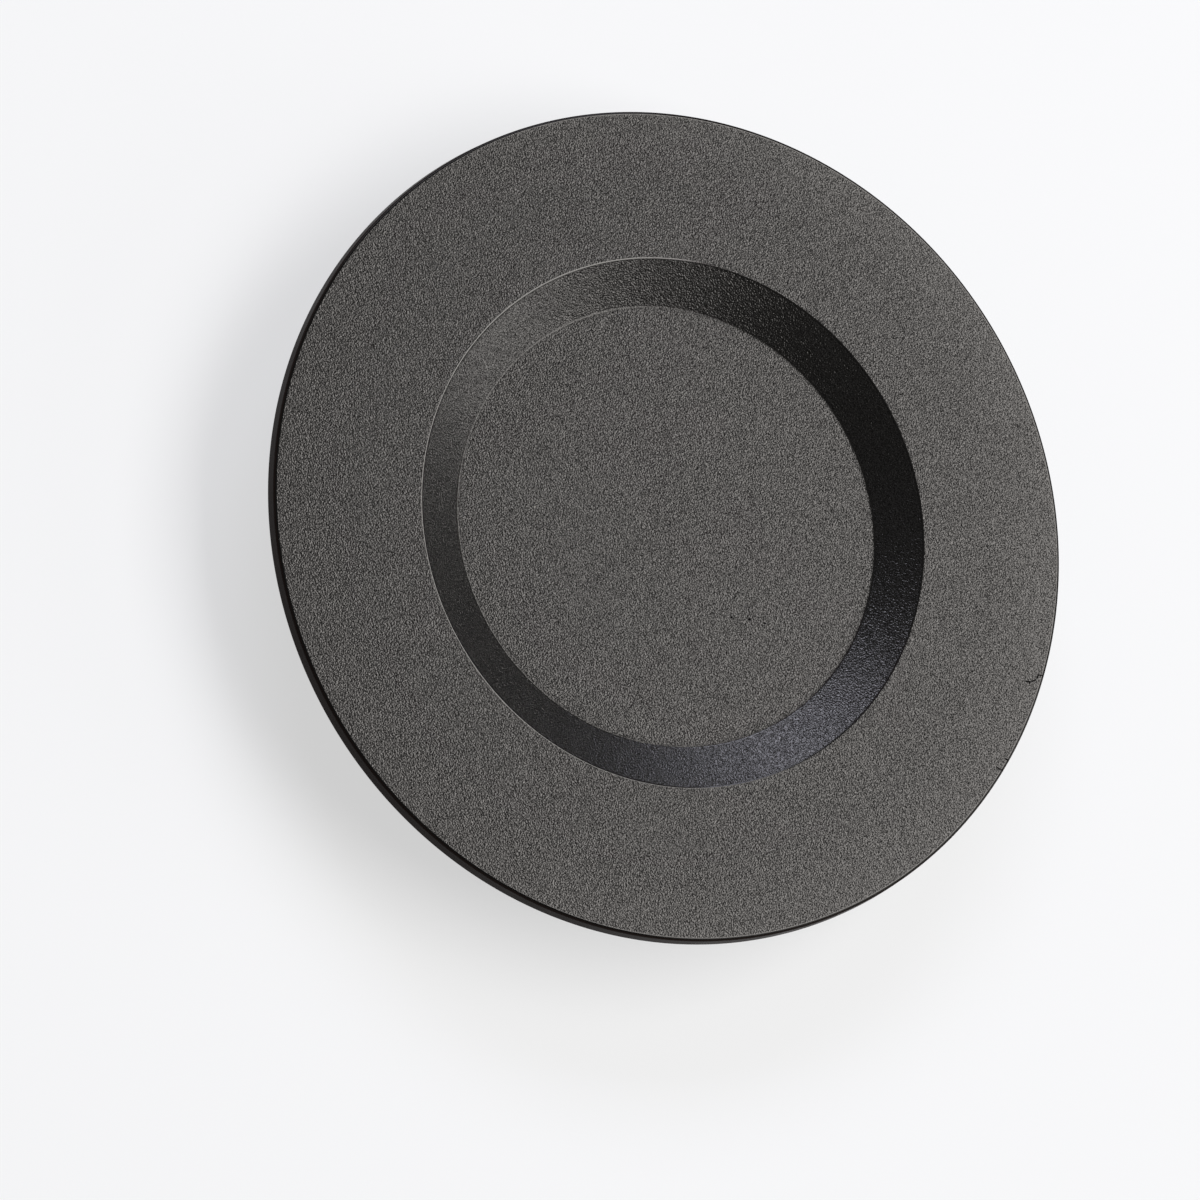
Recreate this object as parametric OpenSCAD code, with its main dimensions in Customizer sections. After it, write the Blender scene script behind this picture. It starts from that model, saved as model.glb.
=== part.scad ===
// Lens cap that plugs into the mouth of a telescope tube, moulded in one piece.
// A flat flange with a shallow dish in its middle covers the mouth, and a plain
// skirt behind it goes inside the tube. The cap is a body of revolution: its
// section is drawn once, radius along X and height along Y, and turned about Z.
// It stands on the end of the skirt, at z = 0, with its face up.

/* [Skirt] */
// Diameter of the skirt's outside, which fits the tube
plug_d = 62; // [58:0.5:80]
// Height of the skirt, from its end to the back of the flange
skirt_h = 7; // [6:0.5:9]
// Thickness of the skirt at its root
skirt_t = 1.5; // [1.2:0.1:2.2]
// Draft of the skirt's inside, in degrees: it opens towards the end
inner_draft = 1.5; // [0:0.5:2]
// Radius of the corners where the skirt grows out of the flange
root_r = 0.4; // [0.2:0.1:1]
// Height of the slope that leads the skirt into the tube
lead_h = 0.8; // [0.4:0.1:1.5]
// Width of that slope
lead_w = 0.4; // [0.2:0.05:0.5]
// Radius of the edge inside the skirt's end
end_edge_r = 0.2; // [0.1:0.05:0.25]

/* [Flange] */
// How far the flange stands out past the skirt, over the tube's rim
overhang = 4; // [2:0.25:6]
// Thickness of the flange and of the dish, which are one even wall
plate_t = 1.3; // [1:0.1:1.8]
// Draft of the flange's side, in degrees: it narrows towards the face
side_draft = 6; // [0:1:10]
// Radius of the edge between the side and the face
face_edge_r = 0.25; // [0.1:0.05:0.4]
// Radius of the edge between the side and the back
back_edge_r = 0.15; // [0.1:0.05:0.3]

/* [Dish] */
// Diameter of the dish where its wall meets the face
dish_d = 44.6; // [36:0.2:50]
// Depth of the dish's flat floor below the face
dish_depth = 1.85; // [1.5:0.05:3]
// Slope of the dish's wall, in degrees from the face
dish_slope = 26.3; // [20:0.1:40]
// Radius of the edge between the face and the dish's wall
dish_edge_r = 0.3; // [0.1:0.05:0.5]
// Radius of the hollow corner between the wall and the floor
floor_corner_r = 0.4; // [0.1:0.05:0.6]

/* [Hidden] */

turn_facets = 256;   // steps of one turn about the axis
arc_facets = 96;     // steps of each full circle in the section

plug_r = plug_d / 2;
skirt_root_r = plug_r - skirt_t;            // inside of the skirt at the flange
skirt_mouth_r = skirt_root_r + skirt_h * tan(inner_draft);

back_z = skirt_h;                           // back of the flange
face_z = back_z + plate_t;                  // face of the flange
flange_r = plug_r + overhang;               // the cap's widest point, at the flange's back
face_r = flange_r - plate_t * tan(side_draft);

dish_r = dish_d / 2;
floor_r = dish_r - dish_depth / tan(dish_slope);
floor_z = face_z - dish_depth;              // floor of the dish
floor_back_z = floor_z - plate_t;           // back of the dish

// An even wall puts each corner of the dish's back this much farther out.
back_shift = plate_t * tan(dish_slope / 2);

// Each rounded corner of the section is [corner, a, b, r]: its two sides leave
// the corner at the angles a and b, and an arc of radius r lies between them.
// The radii on the back of the dish are larger by the wall, so that the wall
// stays even round each bend.
floor_corner = [[floor_r, floor_z], dish_slope, 180, floor_corner_r];
dish_back_corner = [[dish_r + back_shift, back_z], 180 + dish_slope, 360, dish_edge_r + plate_t];
outer_root = [[plug_r, back_z], 270, 360, root_r];
inner_root = [[skirt_root_r, back_z], 180, 270 + inner_draft, root_r];
hollow_corners = [floor_corner, dish_back_corner, outer_root, inner_root];

outer_edges = [
    [[dish_r, face_z], 180 + dish_slope, 360, dish_edge_r],
    [[face_r, face_z], 180, 270 + side_draft, face_edge_r],
    [[flange_r, back_z], 90 + side_draft, 180, back_edge_r],
    [[skirt_mouth_r, 0], 0, 90 + inner_draft, end_edge_r],
    [[floor_r + back_shift, floor_back_z], dish_slope, 180, floor_corner_r + plate_t],
];

// A point at a distance r from the origin, in the direction of an angle
function polar(r, angle) = r * [cos(angle), sin(angle)];

// Where the arc meets the corner's sides, the side at b first
function arc_ends(c) =
    let (reach = c[3] / tan((c[2] - c[1]) / 2))
    [c[0] + polar(reach, c[2]), c[0] + polar(reach, c[1])];

// The circle that the arc is part of
module arc_circle(c) {
    half = (c[2] - c[1]) / 2;
    translate(c[0] + polar(c[3] / sin(half), c[1] + half))
        circle(c[3], $fn = arc_facets);
}

// What is cut from a sharp edge to round it
module edge_cut(c) {
    beyond = c[0] - polar(c[3], (c[1] + c[2]) / 2);
    difference() {
        polygon(concat([beyond], arc_ends(c)));
        arc_circle(c);
    }
}

// The section with sharp edges, and with a chamfer in each hollow corner
module section_outline() {
    polygon(concat(
        [[0, floor_back_z], [0, floor_z]],
        arc_ends(floor_corner),
        [[dish_r, face_z], [face_r, face_z], [flange_r, back_z]],
        arc_ends(outer_root),
        [[plug_r, lead_h], [plug_r - lead_w, 0], [skirt_mouth_r, 0]],
        arc_ends(inner_root),
        arc_ends(dish_back_corner),
        [[floor_r + back_shift, floor_back_z]]
    ));
}

module cap() {
    color("#3b3a39")
        rotate_extrude($fn = turn_facets) difference() {
            section_outline();
            for (c = hollow_corners) arc_circle(c);
            for (c = outer_edges) edge_cut(c);
        }
}

cap();
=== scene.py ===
# Telescope lens cap: one black plastic moulding that stands on its skirt, face up.
from math import atan2, ceil, cos, degrees, pi, radians, sin, tan

import bmesh
import bpy
from mathutils import Matrix, Vector


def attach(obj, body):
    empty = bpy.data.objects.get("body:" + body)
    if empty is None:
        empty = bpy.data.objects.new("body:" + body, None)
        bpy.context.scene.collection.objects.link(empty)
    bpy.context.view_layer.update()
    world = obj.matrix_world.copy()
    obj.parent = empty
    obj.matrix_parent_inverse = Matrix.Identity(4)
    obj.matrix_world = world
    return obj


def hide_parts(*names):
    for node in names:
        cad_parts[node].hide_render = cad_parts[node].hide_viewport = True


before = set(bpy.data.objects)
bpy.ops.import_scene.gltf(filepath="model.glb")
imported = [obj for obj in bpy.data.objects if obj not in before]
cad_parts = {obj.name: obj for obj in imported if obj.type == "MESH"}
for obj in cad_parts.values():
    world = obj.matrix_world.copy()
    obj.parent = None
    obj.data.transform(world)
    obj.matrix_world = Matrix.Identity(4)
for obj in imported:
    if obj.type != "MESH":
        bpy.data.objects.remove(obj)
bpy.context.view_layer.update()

mm = 0.001


# Helpers that every piece uses
def addNode(tree, kind, inputs=(), **settings):
    # inputs holds values and sockets to link: a list in the node's own order, or a
    # dictionary by the input's name or number
    node = tree.nodes.new(kind)
    for name, value in settings.items():
        setattr(node, name, value)
    pairs = inputs.items() if isinstance(inputs, dict) else enumerate(inputs)
    for key, value in pairs:
        if isinstance(value, bpy.types.NodeSocket):
            tree.links.new(value, node.inputs[key])
        else:
            node.inputs[key].default_value = value
    return node


def linearColour(code):
    # "#rrggbb" as sRGB to linear RGBA
    channels = [int(code[i:i + 2], 16) / 255 for i in (1, 3, 5)]
    return [c / 12.92 if c <= 0.04045 else ((c + 0.055) / 1.055) ** 2.4 for c in channels] + [1.0]


def newMaterial(name):
    material = bpy.data.materials.new(name)
    material.use_nodes = True
    material.node_tree.nodes.clear()
    return material, material.node_tree


def addObject(name, data):
    made = bpy.data.objects.new(name, data)
    bpy.context.collection.objects.link(made)
    return made


def polar(radius, angle):
    return Vector((radius * cos(angle), radius * sin(angle)))


def addPlace(tree, turn=(0, 0, 0), axes=(1, 1, 1)):
    # the piece's own coordinates in millimetres, turned, and without the axes set to 0
    place = addNode(tree, "ShaderNodeTexCoord").outputs["Object"]
    return addNode(tree, "ShaderNodeMapping", {
        "Vector": place,
        "Rotation": turn,
        "Scale": [axis / mm for axis in axes],
    }).outputs[0]


def addRadius(tree):
    # distance from the cap's axis, in millimetres
    across = addPlace(tree, axes=(1, 1, 0))
    return addNode(tree, "ShaderNodeVectorMath", [across], operation="LENGTH").outputs["Value"]


def aimedFrom(spot, target):
    # place and turn of a camera or lamp that looks from one point at another
    turn = (target - spot).to_track_quat("-Z", "Y").to_matrix().to_4x4()
    return Matrix.Translation(spot) @ turn


# Sizes of the cap, in millimetres and degrees
capSizes = {
    "plugRadius": 31.0,
    "skirtHeight": 7.0,
    "skirtWall": 1.5,
    "innerDraft": 1.5,
    "rootRadius": 0.4,
    "leadHeight": 0.8,
    "leadWidth": 0.4,
    "endEdgeRadius": 0.2,
    "overhang": 4.0,
    "plateWall": 1.3,
    "sideDraft": 6.0,
    "faceEdgeRadius": 0.25,
    "backEdgeRadius": 0.15,
    "dishRadius": 22.3,
    "dishDepth": 1.85,
    "dishSlope": 26.3,
    "dishEdgeRadius": 0.3,
    "floorCornerRadius": 0.4,
    "gatePitRadius": 0.16,     # where the plastic was let in, in the middle of the dish
    "gatePitDepth": 0.05,
}
dishSlope = radians(capSizes["dishSlope"])
backHeight = capSizes["skirtHeight"]
faceHeight = backHeight + capSizes["plateWall"]
floorHeight = faceHeight - capSizes["dishDepth"]
flangeRadius = capSizes["plugRadius"] + capSizes["overhang"]
faceRadius = flangeRadius - capSizes["plateWall"] * tan(radians(capSizes["sideDraft"]))
floorRadius = capSizes["dishRadius"] - capSizes["dishDepth"] / tan(dishSlope)


# Camera, in millimetres and degrees: where it stands from the middle of the face
cameraPlace = {
    "distance": 471.8,
    "elevation": 64.05,
    "roll": 61.21,
    "aim": (2.54, -9.63),     # where it looks on the face's plane
    "lens": 172.3,
    "sensor": 36.0,
    "nearest": 10.0,
}


def addCamera(place):
    data = bpy.data.cameras.new("camera")
    data.lens = place["lens"]
    data.sensor_width = place["sensor"]
    data.clip_start = place["nearest"] * mm
    camera = addObject("camera", data)
    tilt = radians(place["elevation"])
    middle = Vector((0, 0, faceHeight))
    spot = middle + place["distance"] * Vector((0, -cos(tilt), sin(tilt)))
    aim = Vector((*place["aim"], faceHeight))
    roll = Matrix.Rotation(radians(place["roll"]), 4, "Z")
    camera.matrix_world = aimedFrom(spot * mm, aim * mm) @ roll
    bpy.context.scene.camera = camera


addCamera(cameraPlace)
print("camera placed")


# How finely the section is turned
meshSteps = {
    "turn": 480,          # steps of one turn
    "arc": 8.0,           # degrees for each step of a rounding
    "flat": 2.0,          # longest step on a straight stretch, mm
    "hold": 0.06,         # first step beside a rounding, mm, so that flats shade flat
    "shortest": 0.3,      # straight stretches below this get no steps, mm
    "path": 50.0,         # radius of the circle that the section follows, mm
    "weld": 0.0005,       # mm
    "sharp": 18.0,        # degrees between faces past which an edge is sharp
    "sideOverlap": 0.1,   # how far in from the face's edge the side's finish starts, mm
}


def sectionCorners(s):
    # corners as (radius, height, rounding), from the face's middle round the rim
    # and the skirt to the middle of the back
    backShift = s["plateWall"] * tan(dishSlope / 2)      # keeps the wall even round the bends
    rootRadius = s["plugRadius"] - s["skirtWall"]
    mouthRadius = rootRadius + s["skirtHeight"] * tan(radians(s["innerDraft"]))
    floorBack = floorHeight - s["plateWall"]
    pitHeight = floorHeight - s["gatePitDepth"]
    return [
        (0, pitHeight, 0),
        (s["gatePitRadius"] / 2, pitHeight, 0),
        (s["gatePitRadius"], floorHeight, 0),
        (floorRadius, floorHeight, s["floorCornerRadius"]),
        (s["dishRadius"], faceHeight, s["dishEdgeRadius"]),
        (faceRadius, faceHeight, s["faceEdgeRadius"]),
        (flangeRadius, backHeight, s["backEdgeRadius"]),
        (s["plugRadius"], backHeight, s["rootRadius"]),
        (s["plugRadius"], s["leadHeight"], 0),
        (s["plugRadius"] - s["leadWidth"], 0, 0),
        (mouthRadius, 0, s["endEdgeRadius"]),
        (rootRadius, backHeight, s["rootRadius"]),
        (s["dishRadius"] + backShift, backHeight, s["dishEdgeRadius"] + s["plateWall"]),
        (floorRadius + backShift, floorBack, s["floorCornerRadius"] + s["plateWall"]),
        (0, floorBack, 0),
    ]


def roundedCorner(before, corner, after, radius, arcStep):
    # points of the arc that rounds a corner, from one side to the other
    if radius == 0:
        return [corner]
    toBefore = (before - corner).normalized()
    toAfter = (after - corner).normalized()
    half = toBefore.angle(toAfter) / 2
    reach = radius / tan(half)
    centre = corner + (toBefore + toAfter).normalized() * radius / sin(half)
    start = corner + toBefore * reach - centre
    end = corner + toAfter * reach - centre
    sweep = atan2(start.x * end.y - start.y * end.x, start.dot(end))
    steps = max(2, ceil(abs(degrees(sweep)) / arcStep))
    first = atan2(start.y, start.x)
    return [centre + polar(radius, first + sweep * i / steps) for i in range(steps + 1)]


def straightSteps(start, end, steps):
    # inner points of a straight stretch, with one close to each end
    length = (end - start).length
    if length < steps["shortest"]:
        return []
    hold = steps["hold"] / length
    count = max(1, ceil(length / steps["flat"]))
    inner = [i / count for i in range(1, count)]
    return [start.lerp(end, t) for t in [hold] + inner + [1 - hold]]


def sectionPoints(sizes, steps):
    corners = sectionCorners(sizes)
    spots = [Vector(c[:2]) for c in corners]
    points = [spots[0]]
    for i in range(1, len(corners)):
        if i < len(corners) - 1:
            bend = roundedCorner(spots[i - 1], spots[i], spots[i + 1], corners[i][2], steps["arc"])
        else:
            bend = [spots[i]]
        points += straightSteps(points[-1], bend[0], steps) + bend
    return points


def newTree(name, inputs):
    # an empty tree with named inputs, and the identifier of each for the modifier
    tree = bpy.data.node_groups.new(name, "GeometryNodeTree")
    sockets = {}
    for label, kind in inputs.items():
        socket = tree.interface.new_socket(label, in_out="INPUT", socket_type="NodeSocket" + kind)
        sockets[label] = socket.identifier
    tree.interface.new_socket("Mesh", in_out="OUTPUT", socket_type="NodeSocketGeometry")
    return tree, sockets, addNode(tree, "NodeGroupInput").outputs


# Turns a section that lies in the XZ plane about Z, and gives the grained face and the
# flange's side their own materials
def turningTree():
    tree, sockets, given = newTree("turn_section", {
        "Section": "Geometry",
        "Turn Steps": "Int",
        "Path Radius": "Float",
        "Weld Distance": "Float",
        "Least Upward Normal": "Float",
        "Side Radius": "Float",
        "Face Material": "Material",
        "Side Material": "Material",
        "Body Material": "Material",
    })
    # the section's X becomes the distance from the path; a profile's Y points down
    position = addNode(tree, "GeometryNodeInputPosition").outputs[0]
    spot = addNode(tree, "ShaderNodeSeparateXYZ", [position]).outputs
    aside = addNode(tree, "ShaderNodeMath", [spot["X"], given["Path Radius"]], operation="SUBTRACT")
    down = addNode(tree, "ShaderNodeMath", [spot["Z"], -1.0], operation="MULTIPLY")
    laid = addNode(tree, "ShaderNodeCombineXYZ", [aside.outputs[0], down.outputs[0]])
    line = addNode(tree, "GeometryNodeMeshToCurve", {"Mesh": given["Section"]})
    profile = addNode(
        tree, "GeometryNodeSetPosition", {"Geometry": line.outputs[0], "Position": laid.outputs[0]},
    )
    path = addNode(
        tree, "GeometryNodeCurvePrimitiveCircle",
        {"Resolution": given["Turn Steps"], "Radius": given["Path Radius"]}, mode="RADIUS",
    )
    turned = addNode(
        tree, "GeometryNodeCurveToMesh",
        {"Curve": path.outputs["Curve"], "Profile Curve": profile.outputs[0]},
    )
    welded = addNode(
        tree, "GeometryNodeMergeByDistance",
        {"Geometry": turned.outputs[0], "Distance": given["Weld Distance"]},
    )
    real = addNode(tree, "GeometryNodeRealizeInstances", {"Geometry": welded.outputs[0]})
    across = addNode(tree, "ShaderNodeVectorMath", [position, (1, 1, 0)], operation="MULTIPLY")
    radius = addNode(tree, "ShaderNodeVectorMath", [across.outputs[0]], operation="LENGTH")
    outer = addNode(
        tree, "FunctionNodeCompare",
        [radius.outputs["Value"], given["Side Radius"]], operation="GREATER_THAN",
    )
    normal = addNode(tree, "GeometryNodeInputNormal").outputs[0]
    upward = addNode(tree, "ShaderNodeSeparateXYZ", [normal])
    grained = addNode(
        tree, "FunctionNodeCompare",
        [upward.outputs["Z"], given["Least Upward Normal"]], operation="GREATER_THAN",
    )
    dressed = addNode(
        tree, "GeometryNodeSetMaterial",
        {"Geometry": real.outputs[0], "Material": given["Body Material"]},
    )
    for picked, label in ((outer, "Side Material"), (grained, "Face Material")):
        dressed = addNode(tree, "GeometryNodeSetMaterial", {
            "Geometry": dressed.outputs[0],
            "Selection": picked.outputs[0],
            "Material": given[label],
        })
    addNode(tree, "NodeGroupOutput", [dressed.outputs[0]])
    return tree, sockets


def bakeTree(name, startMesh, tree, sockets, values):
    # runs the tree on a mesh and returns a plain mesh object, with no modifier left
    source = addObject(name + "_source", startMesh)
    modifier = source.modifiers.new("build", "NODES")
    modifier.node_group = tree
    for label, value in values.items():
        modifier[sockets[label]] = value
    depsgraph = bpy.context.evaluated_depsgraph_get()
    mesh = bpy.data.meshes.new_from_object(source.evaluated_get(depsgraph), depsgraph=depsgraph)
    bpy.data.objects.remove(source)
    mesh.name = name
    return addObject(name, mesh)


def finishMesh(mesh, sharpAngle):
    # one closed skin with its faces outward, smooth but for its true edges
    work = bmesh.new()
    work.from_mesh(mesh)
    bmesh.ops.recalc_face_normals(work, faces=work.faces)
    openEdges = sum(not edge.is_manifold for edge in work.edges)
    work.to_mesh(mesh)
    work.free()
    mesh.shade_smooth()
    mesh.set_sharp_from_angle(angle=radians(sharpAngle))
    print(mesh.name, "has", len(mesh.polygons), "faces and", openEdges, "open edges")


# Finish of the face and the dish
faceFinish = {
    "colour": "#141312",
    "sheen": "#fffaf5",
    "roughness": 0.28,
    "ior": 1.5,
    "grainScale": 8.0,        # per mm: craters about 0.12 mm wide, near the real ones
    "grainDepth": 0.04,       # mm
    "grainTurn": (0.6, 0.4, 0.2),    # keeps flat sides off the noise's own grid, radians
    "shadeScale": 10.0,       # per mm: speckle about 0.1 mm wide, also near the real one
    "grainDetail": 0.0,       # no finer waves, so that the craters are of one size
    "shadeSpan": (0.3, 0.7),  # where most of the noise's values lie
    "shade": (0.1, 0.9),      # specular level in the craters and on their rims
    "leastUpward": 0.85,      # how far up a surface has to face to be grained
    # where the grain is polished away: radius, half width and fade in mm, grain left
    "polishedEdges": [
        (floorRadius + 0.03, 0.06, 0.06, 0.4),
        (capSizes["dishRadius"] - 0.02, 0.045, 0.025, 0.0),
        (faceRadius, 0.24, 0.04, 0.0),
        (faceRadius, 0.3, 6.0, 0.65),
    ],
    "polishBelow": 0.6,       # with this much grain left, the shine is that of the open face
    "polishRoughness": 0.1,
    # painted highlight: the polished edges' specular level, raised well above the open face's
    "polishHighlightSpecular": 0.95,
    # painted shade, in the same way: the specular level is cut to darken the dish's corner, the top of
    # its wall and the inner half of the rim's rounding
    "paintedShadeEdges": [
        (floorRadius - 0.01, 0.09, 0.15, 0.75),
        (capSizes["dishRadius"] - 0.08, 0.045, 0.03, 0.45),
        (faceRadius - 0.15, 0.05, 0.05, 0.1),
    ],
}

# Marks of wear on the face: x, y, length, width in mm and the turn from +X in degrees
faceMarks = {
    "scratches": [
        (26.2, 21.1, 0.75, 0.12, 57),
        (26.35, 21.1, 0.35, 0.1, -7),
        (26.35, 21.6, 0.65, 0.1, 89),
        (26.25, 22.05, 0.5, 0.12, 121),
        (26.25, 22.35, 0.6, 0.1, 56),
        (30.85, 15.7, 0.55, 0.12, 33),
        (31.1, 14.6, 0.5, 0.12, 26),
        (31.35, 14.8, 0.35, 0.1, 65),
    ],
    "pits": [
        (9.15, 0.85, 0.2, 0.2, 0),
        (10.05, 2.2, 0.24, 0.2, 30),
        (10.95, 3.25, 0.26, 0.14, 60),
        (11.15, 1.6, 0.14, 0.12, 0),
    ],
    "dust": [
        (-15.05, 6.4, 0.2, 0.14, 20),
        (-6.7, -9.75, 0.2, 0.14, 70),
        (9.45, -27.65, 0.22, 0.14, 0),
        (-4.8, 24.0, 0.2, 0.16, 110),
    ],
    "dustColour": "#8d8780",
    "dentDepth": 0.03,        # mm
    "dentEdge": (0.7, 1.2),   # where a mark fades, as shares of its outline
    "dustEdge": (0.6, 1.2),
    "reach": 4.0,             # how far up and down a mark takes hold, mm
}


def nearestMark(tree, spot, marks):
    # distance from the nearest of the marks, where 1 is a mark's own outline
    nearest = None
    for x, y, length, width, turn in marks:
        local = addNode(tree, "ShaderNodeMapping", {
            "Vector": spot,
            "Location": (x, y, floorHeight),
            "Rotation": (0, 0, radians(turn)),
            "Scale": (length / 2, width / 2, faceMarks["reach"]),
        }, vector_type="TEXTURE").outputs[0]
        away = addNode(tree, "ShaderNodeVectorMath", [local], operation="LENGTH").outputs["Value"]
        if nearest is not None:
            away = addNode(tree, "ShaderNodeMath", [nearest, away], operation="MINIMUM").outputs[0]
        nearest = away
    return nearest


def shareLeft(tree, radius, edges):
    # 1 on the open face, less along each of the edges
    left = 1.0
    for edgeRadius, halfWidth, fade, share in edges:
        beyond = addNode(tree, "ShaderNodeMath", [radius, edgeRadius], operation="SUBTRACT").outputs[0]
        away = addNode(tree, "ShaderNodeMath", [beyond], operation="ABSOLUTE").outputs[0]
        span = [halfWidth, halfWidth + fade]
        part = addNode(tree, "ShaderNodeMapRange", [away, *span, share, 1.0]).outputs[0]
        left = addNode(tree, "ShaderNodeMath", [left, part], operation="MULTIPLY").outputs[0]
    return left


def sparkErodedAbs(look, marks):
    # Black ABS moulded against spark-eroded steel: the tiny craters scatter the light,
    # so that the face looks grey and speckled rather than glossy
    material, tree = newMaterial("spark_eroded_black_abs")
    spot = addPlace(tree)
    turned = addPlace(tree, turn=look["grainTurn"])
    radius = addRadius(tree)
    grained = shareLeft(tree, radius, look["polishedEdges"])
    craters = addNode(tree, "ShaderNodeTexNoise", {
        "Vector": turned, "Scale": look["grainScale"], "Detail": look["grainDetail"],
    }).outputs[0]
    grainBump = addNode(tree, "ShaderNodeBump", {
        "Strength": grained, "Distance": look["grainDepth"] * mm, "Height": craters,
    }).outputs[0]
    speckle = addNode(tree, "ShaderNodeTexNoise", {
        "Vector": turned, "Scale": look["shadeScale"], "Detail": look["grainDetail"],
    }).outputs[0]
    # a Map Range node takes the value, where it starts and ends, and what it becomes there
    level = addNode(
        tree, "ShaderNodeMapRange", [speckle, *look["shadeSpan"], *look["shade"]],
    ).outputs[0]

    # each scratch and pit is a real dent in the bump, and its black is painted shade: the specular
    # level is cut to nothing in it
    away = nearestMark(tree, spot, marks["scratches"] + marks["pits"])
    unhurt = addNode(
        tree, "ShaderNodeMapRange", [away, *marks["dentEdge"], 0, 1], interpolation_type="SMOOTHSTEP",
    ).outputs[0]
    dentBump = addNode(tree, "ShaderNodeBump", {
        "Distance": marks["dentDepth"] * mm, "Height": unhurt, "Normal": grainBump,
    }).outputs[0]

    # the polished edges are smooth, and their raised specular level is a painted highlight; along the
    # painted shade edges the specular level is cut to darken them
    dull = addNode(tree, "ShaderNodeMapRange", [grained, 0, look["polishBelow"], 0, 1]).outputs[0]
    # painted highlight: where the grain is polished away, the specular level rises to the raised edge
    # level
    mixed = addNode(tree, "ShaderNodeMix", {0: dull, 2: look["polishHighlightSpecular"], 3: level}).outputs[0]
    # painted shade along the dish's corner, the top of its wall and the rim's rounding
    paintedShadeLeft = shareLeft(tree, radius, look["paintedShadeEdges"])
    shine = addNode(tree, "ShaderNodeMath", [unhurt, paintedShadeLeft], operation="MULTIPLY").outputs[0]
    specular = addNode(tree, "ShaderNodeMath", [mixed, shine], operation="MULTIPLY").outputs[0]
    roughness = addNode(
        tree, "ShaderNodeMapRange", [dull, 0, 1, look["polishRoughness"], look["roughness"]],
    ).outputs[0]

    away = nearestMark(tree, spot, marks["dust"])
    clean = addNode(
        tree, "ShaderNodeMapRange", [away, *marks["dustEdge"], 0, 1], interpolation_type="SMOOTHSTEP",
    ).outputs[0]
    colour = addNode(tree, "ShaderNodeMix", {
        0: clean,
        6: linearColour(marks["dustColour"]),
        7: linearColour(look["colour"]),
    }, data_type="RGBA").outputs[2]

    shader = addNode(tree, "ShaderNodeBsdfPrincipled", {
        "Base Color": colour,
        "Roughness": roughness,
        "IOR": look["ior"],
        "Specular IOR Level": specular,
        "Specular Tint": linearColour(look["sheen"]),
        "Normal": dentBump,
    })
    addNode(tree, "ShaderNodeOutputMaterial", {"Surface": shader.outputs[0]})
    return material


# Finish of the skirt and the back
bodyFinish = {
    "name": "turned_mould_black_abs",
    "colour": "#1b1a19",
    "roughness": (0.38, 0.46),
    "cloudScale": 0.35,       # per mm: patches about 3 mm wide, where the mould was rubbed
    "cloudSpan": (0.3, 0.7),  # where most of the noise's values lie
    "specular": 0.35,
    "ior": 1.5,
    "ringScale": 3.0,         # tool marks per mm, drawn coarser than the real ones
    "ringDetail": 1.0,        # one set of finer rings between them
    "ringDepth": 0.012,       # mm, also drawn deeper, so that they show
}

# Finish of the flange's side: a darker copy of the skirt's finish, as painted shade, its shine all but
# cut and its colour a little browner as a painted warm reflection
sideFinish = {
    **bodyFinish,
    "name": "painted_shade_side_black_abs",
    "colour": "#201815",
    # cut to nearly nothing: painted shade, so that the side stays dark beside the pale floor
    "specular": 0.04,
    "ringDepth": 0.002,
}


def turnedMouldAbs(look):
    # The same ABS moulded against turned steel: even from afar, with fine rings round the axis where
    # the light grazes it. On the flange's side, the rings are all but gone and the shine is cut, as
    # painted shade
    material, tree = newMaterial(look["name"])
    spot = addPlace(tree)
    height = addNode(tree, "ShaderNodeSeparateXYZ", [spot]).outputs["Z"]
    # the tool moves outwards on the flats and along the axis on the walls
    travel = addNode(tree, "ShaderNodeMath", [addRadius(tree), height], operation="ADD")
    rings = addNode(tree, "ShaderNodeTexNoise", {
        "W": travel.outputs[0], "Scale": look["ringScale"], "Detail": look["ringDetail"],
    }, noise_dimensions="1D")
    bump = addNode(tree, "ShaderNodeBump", {
        "Distance": look["ringDepth"] * mm, "Height": rings.outputs[0],
    })
    cloud = addNode(tree, "ShaderNodeTexNoise", {"Vector": spot, "Scale": look["cloudScale"]})
    roughness = addNode(
        tree, "ShaderNodeMapRange", [cloud.outputs[0], *look["cloudSpan"], *look["roughness"]],
    )
    shader = addNode(tree, "ShaderNodeBsdfPrincipled", {
        "Base Color": linearColour(look["colour"]),
        "Roughness": roughness.outputs[0],
        "IOR": look["ior"],
        "Specular IOR Level": look["specular"],
        "Normal": bump.outputs[0],
    })
    addNode(tree, "ShaderNodeOutputMaterial", {"Surface": shader.outputs[0]})
    return material


bodyMaterial = turnedMouldAbs(bodyFinish)


def buildCap():
    points = sectionPoints(capSizes, meshSteps)
    section = bpy.data.meshes.new("section")
    section.from_pydata(
        [(p.x * mm, 0, p.y * mm) for p in points],
        [(i, i + 1) for i in range(len(points) - 1)],
        [],
    )
    tree, sockets = turningTree()
    cap = bakeTree("lens_cap", section, tree, sockets, {
        "Turn Steps": meshSteps["turn"],
        "Path Radius": meshSteps["path"] * mm,
        "Weld Distance": meshSteps["weld"] * mm,
        "Least Upward Normal": faceFinish["leastUpward"],
        "Side Radius": (faceRadius - meshSteps["sideOverlap"]) * mm,
        "Face Material": sparkErodedAbs(faceFinish, faceMarks),
        "Side Material": turnedMouldAbs(sideFinish),
        "Body Material": bodyMaterial,
    })
    finishMesh(cap.data, meshSteps["sharp"])
    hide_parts("cap")
    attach(cap, "root")


buildCap()
print("cap built")


# Marks that the ejector pins leave on the flange's back, inside the skirt, in millimetres
ejectorMarks = {
    "count": 6,
    "ringRadius": 26.0,       # between the dish and the skirt
    "pinRadius": 1.5,
    "edge": 0.05,             # slope round each mark
    "proud": 0.05,            # how far it stands out of the back
    "sunk": 0.2,              # how far it goes into the wall
    "sides": 48,
}


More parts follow.
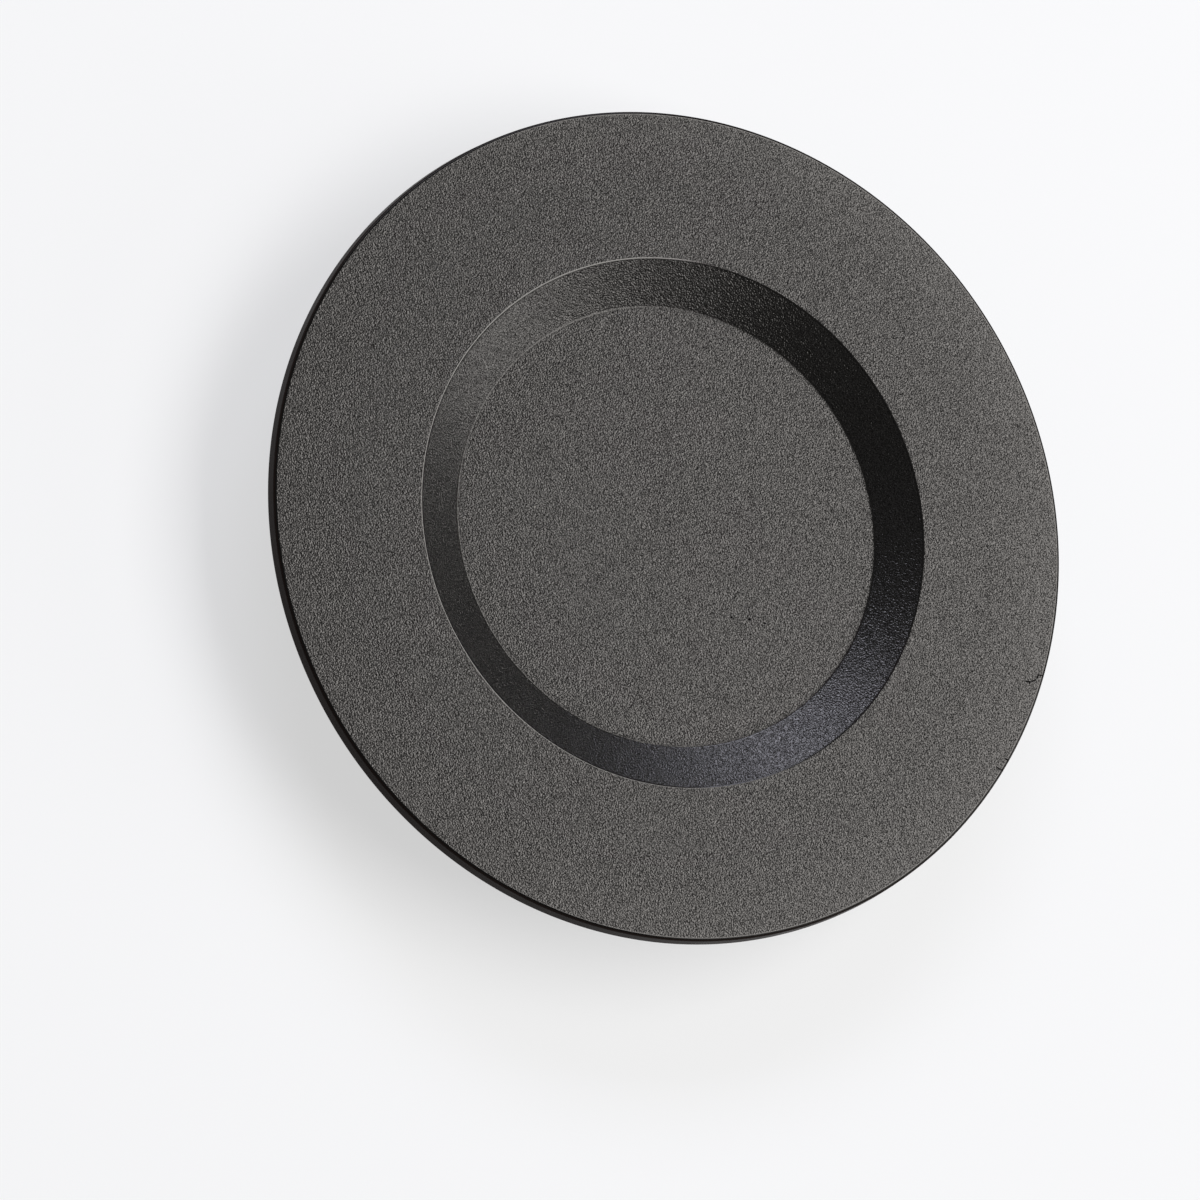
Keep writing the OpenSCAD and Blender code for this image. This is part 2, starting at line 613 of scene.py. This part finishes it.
def ejectorTree():
    tree, sockets, given = newTree("ejector_marks", {
        "Count": "Int",
        "Ring Radius": "Float",
        "Pin Radius": "Float",
        "Edge": "Float",
        "Depth": "Float",
        "Height": "Float",
        "Sides": "Int",
        "Material": "Material",
    })
    narrow = addNode(tree, "ShaderNodeMath", [given["Pin Radius"], given["Edge"]], operation="SUBTRACT")
    pin = addNode(tree, "GeometryNodeMeshCone", {
        "Vertices": given["Sides"],
        "Radius Top": given["Pin Radius"],
        "Radius Bottom": narrow.outputs[0],
        "Depth": given["Depth"],
    })
    ring = addNode(
        tree, "GeometryNodeMeshCircle",
        {"Vertices": given["Count"], "Radius": given["Ring Radius"]},
    )
    copies = addNode(
        tree, "GeometryNodeInstanceOnPoints",
        {"Points": ring.outputs[0], "Instance": pin.outputs["Mesh"]},
    )
    real = addNode(tree, "GeometryNodeRealizeInstances", {"Geometry": copies.outputs[0]})
    lift = addNode(tree, "ShaderNodeCombineXYZ", {"Z": given["Height"]})
    placed = addNode(
        tree, "GeometryNodeTransform", {"Geometry": real.outputs[0], "Translation": lift.outputs[0]},
    )
    finished = addNode(
        tree, "GeometryNodeSetMaterial",
        {"Geometry": placed.outputs[0], "Material": given["Material"]},
    )
    addNode(tree, "NodeGroupOutput", [finished.outputs[0]])
    return tree, sockets


def buildEjectorMarks(m):
    tree, sockets = ejectorTree()
    marks = bakeTree("ejector_marks", bpy.data.meshes.new("empty"), tree, sockets, {
        "Count": m["count"],
        "Ring Radius": m["ringRadius"] * mm,
        "Pin Radius": m["pinRadius"] * mm,
        "Edge": m["edge"] * mm,
        "Depth": (m["proud"] + m["sunk"]) * mm,
        "Height": (backHeight - m["proud"]) * mm,
        "Sides": m["sides"],
        "Material": bodyMaterial,
    })
    finishMesh(marks.data, meshSteps["sharp"])
    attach(marks, "root")


buildEjectorMarks(ejectorMarks)
print("ejector marks built")


# Floor
floorLook = {
    "size": 4.0,              # metres
    "colour": "#f2f2f2",
    "whiteShare": 0.6,        # how far the eye sees plain white instead of the lit floor
}


def addFloor(look):
    half = look["size"] / 2
    mesh = bpy.data.meshes.new("floor")
    mesh.from_pydata(
        [(-half, -half, 0), (half, -half, 0), (half, half, 0), (-half, half, 0)], [], [(0, 1, 2, 3)],
    )
    floor = addObject("floor", mesh)
    material, tree = newMaterial("pale_floor")
    rays = addNode(tree, "ShaderNodeLightPath").outputs
    watched = [rays["Is Camera Ray"], rays["Is Glossy Ray"]]
    seen = addNode(tree, "ShaderNodeMath", watched, operation="MAXIMUM").outputs[0]
    share = addNode(tree, "ShaderNodeMath", [seen, look["whiteShare"]], operation="MULTIPLY").outputs[0]
    matt = addNode(tree, "ShaderNodeBsdfDiffuse", [linearColour(look["colour"])]).outputs[0]
    white = addNode(tree, "ShaderNodeEmission").outputs[0]
    both = addNode(tree, "ShaderNodeMixShader", [share, matt, white]).outputs[0]
    # clear from below, so that the cap's back can be looked at
    below = addNode(tree, "ShaderNodeNewGeometry").outputs["Backfacing"]
    clear = addNode(tree, "ShaderNodeBsdfTransparent").outputs[0]
    shown = addNode(tree, "ShaderNodeMixShader", [below, both, clear]).outputs[0]
    addNode(tree, "ShaderNodeOutputMaterial", {"Surface": shown})
    mesh.materials.append(material)


addFloor(floorLook)

# Each lamp is a panel that faces the cap: azimuth from +X and elevation in degrees,
# distance, width and height in metres, and its radiance
lamps = [
    {
        "name": "overhead_softbox", "azimuth": 62, "elevation": 54.5, "distance": 1.2,
        "size": (1.34, 0.68), "radiance": 4.5, "colour": "#ffffff",
    },
    {
        "name": "right_softbox", "azimuth": 47, "elevation": 17.5, "distance": 1.2,
        "size": (0.51, 0.41), "radiance": 3.9, "colour": "#ffffff",
    },
    {
        "name": "left_window", "azimuth": 150, "elevation": 32.5, "distance": 1.2,
        "size": (0.91, 0.34), "radiance": 7.2, "colour": "#e9edff",
    },
]


def addLamp(lamp):
    width, height = lamp["size"]
    light = bpy.data.lights.new(lamp["name"], "AREA")
    light.shape = "RECTANGLE"
    light.size = width
    light.size_y = height
    light.energy = lamp["radiance"] * pi * width * height
    light.color = linearColour(lamp["colour"])[:3]
    turn = radians(lamp["azimuth"])
    rise = radians(lamp["elevation"])
    spot = lamp["distance"] * Vector((cos(rise) * cos(turn), cos(rise) * sin(turn), sin(rise)))
    addObject(lamp["name"], light).matrix_world = aimedFrom(spot, Vector((0, 0, 0)))


for lamp in lamps:
    addLamp(lamp)

# The rest of the room: dim, so that the cap's dark reflections stay dark, but pale to the eye
roomLook = {
    "colour": "#ffffff",
    "strength": 0.1,
    "seenStrength": 0.85,
}


def addRoom(look):
    world = bpy.data.worlds.new("studio")
    world.use_nodes = True
    tree = world.node_tree
    tree.nodes.clear()
    seen = addNode(tree, "ShaderNodeLightPath").outputs["Is Camera Ray"]
    strength = addNode(
        tree, "ShaderNodeMapRange", [seen, 0, 1, look["strength"], look["seenStrength"]],
    )
    background = addNode(tree, "ShaderNodeBackground", {
        "Color": linearColour(look["colour"]), "Strength": strength.outputs[0],
    })
    addNode(tree, "ShaderNodeOutputWorld", {"Surface": background.outputs[0]})
    bpy.context.scene.world = world


addRoom(roomLook)
bpy.context.scene.view_settings.view_transform = "Standard"
print("floor and lamps placed")
